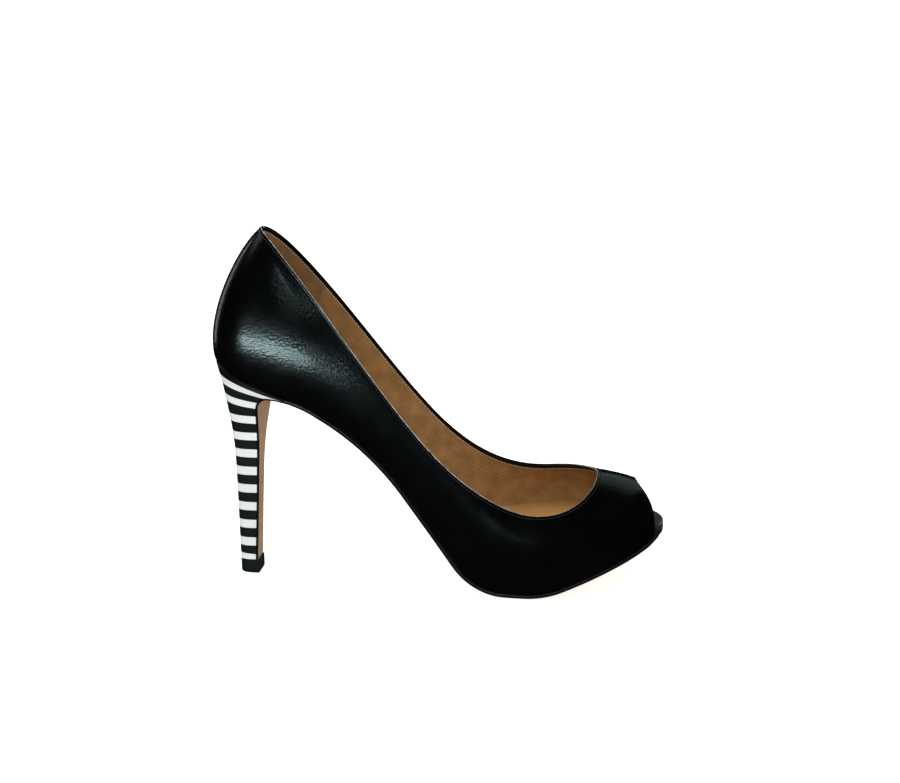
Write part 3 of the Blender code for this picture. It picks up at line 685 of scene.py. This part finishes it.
def textured(name, colours, rough, grain, depth, cloud=40.0, pore_share=0.4, cell="SMOOTH_F1", **constants):
    """Material with a pebbled grain of cells to the metre and a depth in metres, cloudy colour and uneven gloss."""
    made = bpy.data.materials.new(name)
    made.use_nodes = True
    tree = made.node_tree
    shader = tree.nodes["Principled BSDF"]
    place = node(tree, "ShaderNodeTexCoord").outputs["Object"]
    clouds = node(tree, "ShaderNodeTexNoise", {"Vector": place, "Scale": cloud, "Detail": 5.0, "Roughness": 0.6})
    patches = node(tree, "ShaderNodeTexNoise", {"Vector": place, "Scale": 3.1 * cloud, "Detail": 3.0})
    cells = node(tree, "ShaderNodeTexVoronoi", {"Vector": place, "Scale": grain}, feature=cell)
    if cell == "SMOOTH_F1":
        cells.inputs["Smoothness"].default_value = 0.6
    fine = {"Scale": 1.9 * grain, "Detail": 4.0, "Roughness": 0.65}
    pores = node(tree, "ShaderNodeTexNoise", {"Vector": place, **fine})
    height = sum_of(tree, cells.outputs["Distance"], 1 - pore_share, pores.outputs["Fac"], pore_share)
    bump = node(tree, "ShaderNodeBump", {"Height": height, "Distance": depth, "Strength": 1.0})
    tree.links.new(blend_of(tree, clouds.outputs["Fac"], *colours), shader.inputs["Base Color"])
    tree.links.new(between(tree, patches.outputs["Fac"], *rough), shader.inputs["Roughness"])
    tree.links.new(bump.outputs["Normal"], shader.inputs["Normal"])
    for key, value in constants.items():
        shader.inputs[key.replace("_", " ")].default_value = value
    return made


def looks():
    """The shoe's materials by their short names."""
    made = {}
    for row in LOOKS:
        made[row.key] = textured(
            row.name, (row.dark, row.light), row.rough, row.grain, row.depth * MICRON, row.cloud, row.pores,
            Specular_IOR_Level=row.specular,
        )
    return made


def stitch_row(name, points, normals, look, length=STITCH_LENGTH, radius=STITCH_RADIUS):
    """A closed row of short stitches along a loop of points."""
    points = np.concatenate([points, points[:1]])
    normals = np.concatenate([normals, normals[:1]])
    steps = np.linalg.norm(np.diff(points, axis=0), axis=1)
    at = np.concatenate([[0.0], np.cumsum(steps)])
    count = int(at[-1] / STITCH_PITCH)
    middles = (np.arange(count) + 0.5) * at[-1] / count
    along = np.array([-0.5, -0.36, 0.0, 0.36, 0.5]) * length
    rise = np.array([-1.0, 0.15, 0.45, 0.15, -1.0]) * radius
    width = np.array([0.45, 0.95, 1.0, 0.95, 0.45]) * radius
    where = np.mod(middles[:, None] + along, at[-1])

    def sample(values, place):
        return np.stack([np.interp(place, at, values[:, i]) for i in range(3)], axis=-1)

    normal = unit(sample(normals, where))
    ahead = np.mod(where + 0.2, at[-1])
    tangent = unit(sample(points, ahead) - sample(points, np.mod(where - 0.2, at[-1])))
    side = np.cross(normal, tangent)
    centre = sample(points, where) + normal * rise[:, None]
    turn = np.linspace(0.0, 2 * math.pi, 7)[:-1]
    circle = side[:, :, None] * np.cos(turn)[:, None] + normal[:, :, None] * np.sin(turn)[:, None]
    rings = centre[:, :, None] + width[:, None, None] * circle
    per = rings.shape[1] * rings.shape[2]
    single = quads_between(5, 6, False) + [tuple(range(6))[::-1], tuple(range(per - 6, per))]
    faces = [tuple(i * per + k for k in face) for i in range(count) for face in single]
    return add_piece(name, rings, faces, [look])


def make_upper(look):
    """Black leather with folded edges and a painted highlight along their crest, and inside it the lining with its raw
    upper edge.
    """
    low = [0.45, 0.7, 1.0, 1.4, 1.9, 2.5, 3.3]
    top = [0.5, 0.62, 0.8, 1.0, 1.15, 1.3, 1.42, 1.52, 1.6, 1.68, 1.78, 1.9, 2.1, 2.5, 3.2, 4.2]
    u = shoe_columns(250, 110)
    sheet = wall_sheet(u, low, top, 30)
    outer = sheet.points + shell_relief(sheet)[..., None] * sheet.normals
    behind = wall_sheet(u, [0.45, 2.0], [0.5, 1.2, 3.0], 8)
    inner = behind.points - (SHELL + tucked(behind.points))[..., None] * behind.normals
    loops = closed_wall(outer, inner, 1.0, 7)
    # The first two rows over the upper edge take a light grey look: a painted highlight along the crest of the fold
    crest = np.zeros(loops.shape[1], int)
    crest[outer.shape[1] : outer.shape[1] + 2] = 1
    faces = quads_between(*loops.shape[:2], True)
    looks_used = [look["calf"], look["crest"]]
    tags = np.tile(crest, len(loops))
    add_piece("upper_shell", loops, faces, looks_used, ["upper"], tags, sharp=60.0)

    u = shoe_columns(270, 90)
    low = [1.6, 2.2]
    top = [LINING_BELOW, LINING_BELOW + 0.12, LINING_BELOW + 0.3, 2.3, 2.6, 3.2]
    sheet = wall_sheet(u, low, top, 112, 1.5)
    depth = SHELL + LAYER_GAP + LINING
    face = sheet.points - (depth - lining_relief(sheet))[..., None] * sheet.normals
    behind = wall_sheet(u, low, [LINING_BELOW, 2.6], 10)
    hidden = behind.points - (SHELL + LAYER_GAP) * behind.normals
    loops = closed_wall(face, hidden, 0.4, 3)
    count = face.shape[1]
    side, raw, heel = range(3)
    tags = np.full(loops.shape[:2], side)
    tags[:, :count][heel_seam(sheet) < 0] = heel
    tags[:, count - 1 : count + 3] = raw
    faces = quads_between(*loops.shape[:2], True)
    looks_used = [look["lining"], look["raw"], look["heel_lining"]]
    add_piece("lining", loops, faces, looks_used, face_looks=tags.ravel(), sharp=60.0)

    u = np.linspace(0.0, 1.0, 2001)[:-1]
    row = wall_sheet(u, [1.0], [STITCH_BELOW], 0)
    points, normals = row.points[:, -1], row.normals[:, -1]
    # The outer stitches use the dark grey thread look, a painted glint on black thread
    stitch_row("topline_stitches", points - 0.02 * normals, normals, look["thread"])
    row = wall_sheet(u, [1.0], [LINING_STITCH_BELOW], 0)
    points, normals = row.points[:, -1], row.normals[:, -1]
    stitch_row(
        "lining_stitches", points - depth * normals, -normals, look["cream"], LINING_STITCH_LENGTH,
        LINING_STITCH_RADIUS,
    )


def inside_ring(u, level, inset):
    """Where the upper's face, moved in by inset, meets the surface whose height at x is level(x)."""
    h = np.linspace(0.0, 1.0, 241)
    grid_u = np.broadcast_to(u[:, None], (len(u), len(h)))
    grid_h = np.broadcast_to(h[None, :], grid_u.shape)
    face = wall_surface(grid_u, grid_h) - np.reshape(inset, (-1, 1, 1)) * wall_normal(grid_u, grid_h)
    above = face[..., 2] - level(face[..., 0])
    after = np.clip(np.argmax(above > 0, axis=1), 1, len(h) - 1)
    i = np.arange(len(u))
    low, high = above[i, after - 1], above[i, after]
    share = np.clip(-low / (high - low), 0.0, 1.0)[:, None]
    plan = (1 - share) * face[i, after - 1, :2] + share * face[i, after, :2]
    return with_height(plan, level(plan[:, 0]))


def make_sock(look):
    """Sock leather on the insole, a little dished and rolled up where it meets the lining."""
    lateral = spaced(0.003, u_at_x(INSOLE_FRONT_X, 0.1, TOE_U), 190)
    medial = paired(lateral)
    inset = np.full(len(lateral), WALL + 0.08)
    near, far = (inside_ring(u, lambda x: insole_z(x) + 0.2, inset) for u in (lateral, medial))
    for outline in (near, far):
        outline[:, 0] = np.minimum(outline[:, 0], INSOLE_FRONT_X)
    across = np.sin(np.linspace(-math.pi / 2, math.pi / 2, 41))
    middle, half = (near + far) / 2, (far - near) / 2
    top = middle[:, None] + half[:, None] * across[:, None]
    x = top[..., 0]
    dish = 0.7 * hump(x, -75.0, 35.0) + 0.35 * hump(x, 30.0, 40.0)
    top[..., 2] = insole_z(x) - dish * (1 - across**2) + 0.35 * np.abs(across) ** 14 - 0.12 * np.abs(across) ** 60
    low = top[:, ::-8].copy()
    low[..., 2] = np.maximum(insole_low(low[..., 0]) + 0.2, insole_z(low[..., 0]) - INSOLE)
    low[..., 2] = np.minimum(low[..., 2], insole_z(low[..., 0]) - 1.4)
    sections = np.concatenate([top, low], axis=1)
    add_piece("sock", sections, tube_faces(*sections.shape[:2]), [look["sock"]], ["insole"])


def platform_inset(u):
    """The platform lies inside the upper, and comes out to its own leather-covered lip in the peep toe."""
    across = np.abs(2 * u - PEEP_START - PEEP_END) / (PEEP_END - PEEP_START)
    out = np.clip((LIP_START - across) / LIP_BLEND, 0.0, 1.0)
    out = out * out * (3 - 2 * out)
    return (WALL + 1.4 * GAP) * (1 - out) - LIP_OUT * out


def make_platform(look):
    """Platform covered with black leather, rounded over at the lip."""
    lateral = spaced(u_at_x(PLATFORM_BACK_X, 0.1, TOE_U), TOE_U - 0.001, 200)
    u = np.concatenate([lateral, paired(lateral)[::-1]])
    inset = platform_inset(u)
    plan = ring.at(u)[:, :2] - np.reshape(inset + 0.35, (-1, 1)) * outward(u, [0, 1])
    rings = [with_height(plan, feather_z(plan[:, 0]) - 0.15)]
    below, above = np.linspace(0.0, 0.46, 6)[1:], np.linspace(0.60, 0.86, 4)
    shares = np.concatenate([below, LIP_GROOVE + np.linspace(-0.04, 0.04, 5), above])
    for share in shares:
        groove = 0.45 * hump(share, LIP_GROOVE, 0.025)

        def side(x, s=share):
            return feather_z(x) + s * (platform_top(x) - feather_z(x))

        rings.append(inside_ring(u, side, inset + groove))
    for turn in np.radians([0.0, 18.0, 36.0, 54.0, 72.0, 90.0]):

        def shoulder(x, t=turn):
            drop = np.minimum(1.9, 0.13 * (platform_top(x) - feather_z(x)))
            return platform_top(x) - drop * (1 - math.sin(t))

        rings.append(inside_ring(u, shoulder, inset + LIP_ROUND * 0.75 * (1 - math.cos(turn))))
    rings = np.stack(rings)
    faces = stack_faces(*rings.shape[:2])
    # Above the groove the lip's black leather is coloured a lighter grey, a painted highlight on its top; below the
    # groove the edge is painted
    painted = 1 + int(np.argmin(np.abs(shares - LIP_GROOVE)))
    tags = np.zeros(len(faces), int)
    tags[: painted * rings.shape[1]] = 1
    add_piece("platform_cover", rings, faces, [look["lip"], look["lip_edge"]], ["platform"], tags)


def side_width(x, side):
    """Signed half width of the upper's lower edge at x, on the lateral or medial side."""
    u = np.linspace(0.0, TOE_U, 1200) if side == "lateral" else np.linspace(TOE_U, 1.0, 1200)
    plan = ring.at(u)
    order = np.argsort(plan[:, 0])
    return np.interp(x, plan[order, 0], plan[order, 1])


def smooth(x, xs, ys):
    """Smooth curve through a short table."""
    xs, ys = np.asarray(xs, float), np.asarray(ys, float)
    slopes = np.gradient(ys, xs)
    i = np.clip(np.searchsorted(xs, x, side="right") - 1, 0, len(xs) - 2)
    span = xs[i + 1] - xs[i]
    b = np.clip((x - xs[i]) / span, 0.0, 1.0)
    a = 1 - b
    ends = a * a * (1 + 2 * b) * ys[i] + b * b * (1 + 2 * a) * ys[i + 1]
    return ends + a * b * span * (a * slopes[i] - b * slopes[i + 1])


def sole_stations():
    """Rows of x, z, heading, way up from the top lift, lateral y, medial y and thickness along the outsole."""
    rows = sole_walk()
    run = toe_start()[1]
    back = (1 - np.cos(np.linspace(0.05, math.pi / 2, 26))) * run / 2
    turn = math.radians(TOE_SPRING)
    toe = rows[0] - np.outer(back, [math.cos(turn), math.sin(turn), 0.0])
    rows = np.concatenate([toe, rows[rows[:, 0] < toe[-1, 0] - 0.5]])
    x = rows[:, 0]
    steps = np.hypot(np.diff(x), np.diff(rows[:, 1]))
    up = np.concatenate([np.cumsum(steps[::-1])[::-1], [0.0]])
    lip_start = walk(toe_start()[0], -TOE_SPRING, forepart_moves())[-1][0]
    ups = [row.up for row in BREAST] + [float(np.interp(-lip_start, -x, up))]
    sides = []
    for side, sign in (("lateral", -1), ("medial", 1)):
        end = sign * side_width(lip_start, side) - EDGE_INSET
        half = smooth(up, ups, [row.sole for row in BREAST] + [end])
        sides.append(np.where(x < lip_start, sign * half, side_width(x, side) - sign * EDGE_INSET))
    thick = np.interp(up, [BREAST[-2].up, BREAST[-1].up + WING_TAPER], [FLAP, SOLE])
    return np.column_stack([rows, up, *sides, thick])


stations = sole_stations()
X, Z, HEADING, UP, THICK = 0, 1, 2, 3, 6  # columns of the stations


def make_outsole(look):
    """Thin leather sole with a painted edge, crowned below, that runs down the heel breast as a flap."""
    edge_up = np.array([1.0, 0.86, 0.55, 0.25])
    edge_in = np.array([0.14, 0.03, 0.0, 0.05])
    under_in = np.array([0.07, 0.16, 0.3, 0.48, 0.72, 1.0])
    sections = []
    for x, z, heading, _, lateral, medial, thick in stations:
        turn = math.radians(heading)
        lift = CROWN * SOLE * (thick - FLAP) / (SOLE - FLAP)
        inset = min(CROWN_WIDTH * thick / SOLE, 0.3 * (medial - lateral))
        low = lift * max(0.0, 1 - (SOLE_TOE_X - x) / CROWN_WIDTH)
        side = np.column_stack([edge_in, lift + (thick - lift) * edge_up])
        under = np.column_stack([under_in * inset, low + (lift - low) * (1 - under_in) ** 2])
        half = np.concatenate([side, under])
        flat = np.linspace(lateral + inset, medial - inset, 7)[1:-1]
        near = np.column_stack([lateral + half[:, 0], half[:, 1]])
        far = np.column_stack([medial - half[::-1, 0], half[::-1, 1]])
        outline = np.concatenate([near, np.column_stack([flat, np.full(len(flat), low)]), far])
        y, n = outline.T
        sections.append(np.column_stack([x + n * math.sin(turn), y, z + n * math.cos(turn)]))
    sections = np.array(sections)
    count, corners = sections.shape[:2]
    tan, painted, painted_bevel_highlight = range(3)
    strips = len(edge_up) + 1  # painted ones of each side
    tags = np.full((count - 1, corners), tan)
    tags[:, :strips] = tags[:, corners - strips - 1 :] = painted
    whole = stations[:-1, THICK] > SOLE - 0.05
    # The top bevel of the full-thickness sole is a lighter grey than the painted edge: a painted highlight where the
    # bevel catches light
    tags[whole, 0] = tags[whole, corners - 2] = painted_bevel_highlight
    tags = np.concatenate([tags.ravel(), [painted, painted]])
    looks_used = [look["sole"], look["edge"], look["sole_bevel_highlight"]]
    add_piece("outsole_leather", sections, tube_faces(count, corners), looks_used, ["outsole"], tags)


def heel_back_x(z):
    share = max(0.0, z - HEEL_FLARE_Z) / (HEEL_BACK_Z - HEEL_FLARE_Z)
    return HEEL_BACK_X - HEEL_FLARE * share**HEEL_FLARE_POWER


def heel_front(up):
    """Point of the heel's front face and its half width, at a way up from the top lift to the wing tip."""
    rows = stations[::-1]
    rows = rows[rows[:, UP] < BREAST[-1].up + 6.0]
    turn = np.radians(rows[:, HEADING])
    reach = rows[:, THICK] + FLAP_CLEAR
    x = np.interp(up, rows[:, UP], rows[:, X] + reach * np.sin(turn))
    z = np.interp(up, rows[:, UP], rows[:, Z] + reach * np.cos(turn))
    return x, z, smooth(up, [row.up for row in BREAST], [row.heel for row in BREAST])


def heel_keys():
    """Levels of the heel where its stripes change, as back height and way up the front, from the top lift up."""
    keys = []
    for stripe in range(LEVEL_STRIPES)[::-1]:
        upper = STRIPE_TOP - stripe * STRIPE_PERIOD
        for z in (max(upper - STRIPE_WHITE, LIFT + LIFT_CLEAR), upper):
            keys.append((z, z - LIFT - LIFT_CLEAR))
    for i in (1, len(keys) - 2, len(keys) - 1):
        keys[i] = (keys[i][0] + END_BAND_BACK, keys[i][1] + END_BAND_FRONT)
    return keys + [(level.back_z, level.up) for level in SEAT_STRIPES] + [(HEEL_BACK_Z, BREAST[-1].up)]


def d_ring(back_x, back_z, front_x, front_z, half, roundness, columns=44):
    """A D outline with its flat at the front, from the medial front corner round the back."""
    turn = np.linspace(0.0, math.pi, 2 * columns)
    deep = np.sin(turn) ** (2 / roundness)
    wide = np.sign(np.cos(turn)) * np.abs(np.cos(turn)) ** (2 / roundness)
    x = front_x + (back_x - front_x) * deep
    z = front_z + (back_z - front_z) * deep
    return np.column_stack([x, half * wide, z])


def heel_ring(back_z, up, sink):
    share = np.clip((back_z - STRIPE_TOP) / (HEEL_BACK_Z - STRIPE_TOP), 0.0, 1.0)
    roundness = STEM_ROUNDNESS + share * (SEAT_ROUNDNESS - STEM_ROUNDNESS)
    front_x, front_z, half = heel_front(up)
    return d_ring(heel_back_x(back_z) + sink, back_z, front_x, front_z, half - sink, roundness)


def make_heel(look):
    """Heel covered in black and white bands, with a hairline groove where they meet, and the rubber lift under it."""
    keys = np.array(heel_keys())
    seat_band = 2
    rings, bands = [], []
    for i, (low, high) in enumerate(zip(keys, keys[1:])):
        for share in (0.0, 0.05, 0.16, 0.32, 0.5, 0.68, 0.84, 0.95):
            level = low + (high - low) * share
            rings.append(heel_ring(*level, BAND_GROOVE if share == 0.0 and i else 0.0))
            bands.append(seat_band if i == len(keys) - 2 else i % 2)
    rings.append(heel_ring(*keys[-1], 0.0))
    back, half = FEATHER[0].x, BREAST[-1].heel
    back_z, front_z = (float(feather_z(x)) - SEAT_CLEAR for x in (back, WING_TIP_X))
    rings.append(d_ring(back, back_z, WING_TIP_X, front_z, half, SEAT_ROUNDNESS))
    # The seat steps up inside the tucked edge of the upper, so no light shows between them
    back, front, half = back + SEAT_STEP_IN, WING_TIP_X - SEAT_STEP_IN, half - SEAT_STEP_IN
    rings.append(d_ring(back, back_z + SEAT_STEP_BACK, front, front_z + SEAT_STEP_FRONT, half, SEAT_ROUNDNESS))
    bands += [seat_band, seat_band]
    rings = np.stack(rings)
    levels, count = rings.shape[:2]
    faces = stack_faces(levels, count)
    tags = np.full(len(faces), 1)
    tags[: (levels - 1) * count] = np.repeat(bands, count)
    looks_used = [look["white"], look["black"], look["edge"]]
    add_piece("heel_cover", rings, faces, looks_used, ["heel"], tags)

    front_x, _, half = heel_front(0.0)
    front_x += FLAP_CLEAR + FLAP + LIFT_REACH
    low = [(0.0, 0.55), (0.15, 0.28), (0.45, 0.06), (1.0, 0.0)]
    high = [(3.0, 0.0), (6.3, 0.0), (6.6, 0.05), (LIFT, 0.22)]
    rings = []
    for z, inset in low + high:
        rings.append(d_ring(heel_back_x(0.0) + inset, z, front_x - inset, z, half - inset, STEM_ROUNDNESS))
    rings = np.stack(rings)
    add_piece("top_lift_rubber", rings, stack_faces(*rings.shape[:2]), [look["rubber"]], ["top_lift"])


AIM = Vector((0.00585, -0.0004, 0.0894))
CAMERA_AZIMUTH, CAMERA_ELEVATION, CAMERA_DISTANCE, CAMERA_ROLL = 7.2, 14.3, 0.75, -1.1


def direction(azimuth, elevation):
    """Unit vector from the shoe towards a place round it. Azimuth 0 is the lateral side, and 90 the toe."""
    a, e = math.radians(azimuth), math.radians(elevation)
    return Vector((math.sin(a) * math.cos(e), -math.cos(a) * math.cos(e), math.sin(e)))


def facing(target, toward, distance, roll):
    """Matrix of a camera or lamp that looks at a target from a direction and distance, turned by roll degrees."""
    turn = math.radians(roll)
    level = Vector((0.0, 0.0, 1.0)).cross(toward).normalized()
    over = toward.cross(level)
    right = math.cos(turn) * level + math.sin(turn) * over
    up = -math.sin(turn) * level + math.cos(turn) * over
    made = Matrix((right, up, toward)).transposed().to_4x4()
    made.translation = target + distance * toward
    return made


def add_camera():
    """The photograph's view."""
    data = bpy.data.cameras.new("camera")
    data.lens, data.sensor_width = 65.1, 36.0
    data.clip_start, data.clip_end = 0.01, 100.0
    made = bpy.data.objects.new("camera", data)
    made.matrix_world = facing(AIM, direction(CAMERA_AZIMUTH, CAMERA_ELEVATION), CAMERA_DISTANCE, CAMERA_ROLL)
    bpy.context.scene.collection.objects.link(made)
    bpy.context.scene.camera = made


# Places that the lamps aim at besides the middle of the shoe: the counter, and the ridge above it
HEEL = Vector((-0.0746, -0.0204, 0.118))
RIDGE = Vector((-0.0655, -0.0184, 0.1415))
LAMPS = [
    Lamp("strip", HEEL, -23.0, -1.4, 0.201, 0.215, 0.010, 1.5, 0.25, (0.70, 0.97, 1.0), False, True),
    Lamp("ridge", RIDGE, 1.0, 27.5, 0.25, 0.088, 0.02, -48.0, 0.017, (0.72, 1.0, 1.0), False, True),
    Lamp("behind", AIM, 162.0, 37.0, 1.3, 0.9, 0.95, 0.0, 0.9, (0.78, 1.0, 0.91), False, True),
    Lamp("back_edge", AIM, -122.0, 8.0, 1.2, 0.16, 0.7, 0.0, 0.5, (0.95, 1.0, 0.85), False, True),
    Lamp("far_strip", AIM, 150.0, 6.0, 1.3, 0.5, 0.2, 0.0, 1.9, (0.95, 1.0, 1.0), False, True),
    Lamp("over_heel", AIM, 255.0, 45.0, 1.3, 0.9, 0.5, 0.0, 1.0, (0.9, 1.0, 1.0), False, True),
    Lamp("above", AIM, 30.0, 78.0, 1.5, 1.4, 1.4, 0.0, 13.5, (1.0, 1.0, 1.0), True, False),
    Lamp("front", AIM, -10.0, 35.0, 1.4, 1.2, 1.2, 0.0, 6.0, (1.0, 1.0, 1.0), True, False),
]


def add_light(lamp):
    data = bpy.data.lights.new(lamp.name, "AREA")
    data.shape, data.size, data.size_y = "RECTANGLE", lamp.wide, lamp.tall
    data.energy, data.color = lamp.power, lamp.colour
    made = bpy.data.objects.new(lamp.name, data)
    made.matrix_world = facing(lamp.target, direction(lamp.azimuth, lamp.elevation), lamp.distance, lamp.roll)
    made.visible_camera = False
    made.visible_diffuse, made.visible_glossy = lamp.diffuse, lamp.glossy
    bpy.context.scene.collection.objects.link(made)


def add_stage():
    """Plain white floor that glows a little, soft lights and a pale surround that only lights matt surfaces."""
    mesh = bpy.data.meshes.new("floor")
    reach = 60.0
    corners = [(-reach, -reach, 0), (reach, -reach, 0), (reach, reach, 0), (-reach, reach, 0)]
    mesh.from_pydata(corners, [], [(0, 1, 2, 3)])
    paper = textured(
        "floor_paper", ((0.90, 0.90, 0.90), (0.92, 0.92, 0.92)), (0.8, 0.9), 400.0, 50 * MICRON, cell="F1",
        Specular_IOR_Level=0.1, Emission_Color=(1.0, 1.0, 1.0, 1.0), Emission_Strength=0.70,
    )
    mesh.materials.append(paper)
    floor = bpy.data.objects.new("floor", mesh)
    floor.visible_glossy = False
    bpy.context.scene.collection.objects.link(floor)
    for lamp in LAMPS:
        add_light(lamp)

    world = bpy.data.worlds.new("surround")
    world.use_nodes = True
    ground = world.node_tree.nodes["Background"]
    ground.inputs["Color"].default_value = (0.97, 0.99, 1.0, 1.0)
    ground.inputs["Strength"].default_value = 0.5
    world.cycles_visibility.glossy = False
    bpy.context.scene.world = world
    bpy.context.scene.view_settings.view_transform = "Standard"


look = looks()
make_upper(look)
make_sock(look)
make_platform(look)
make_outsole(look)
make_heel(look)
add_camera()
add_stage()
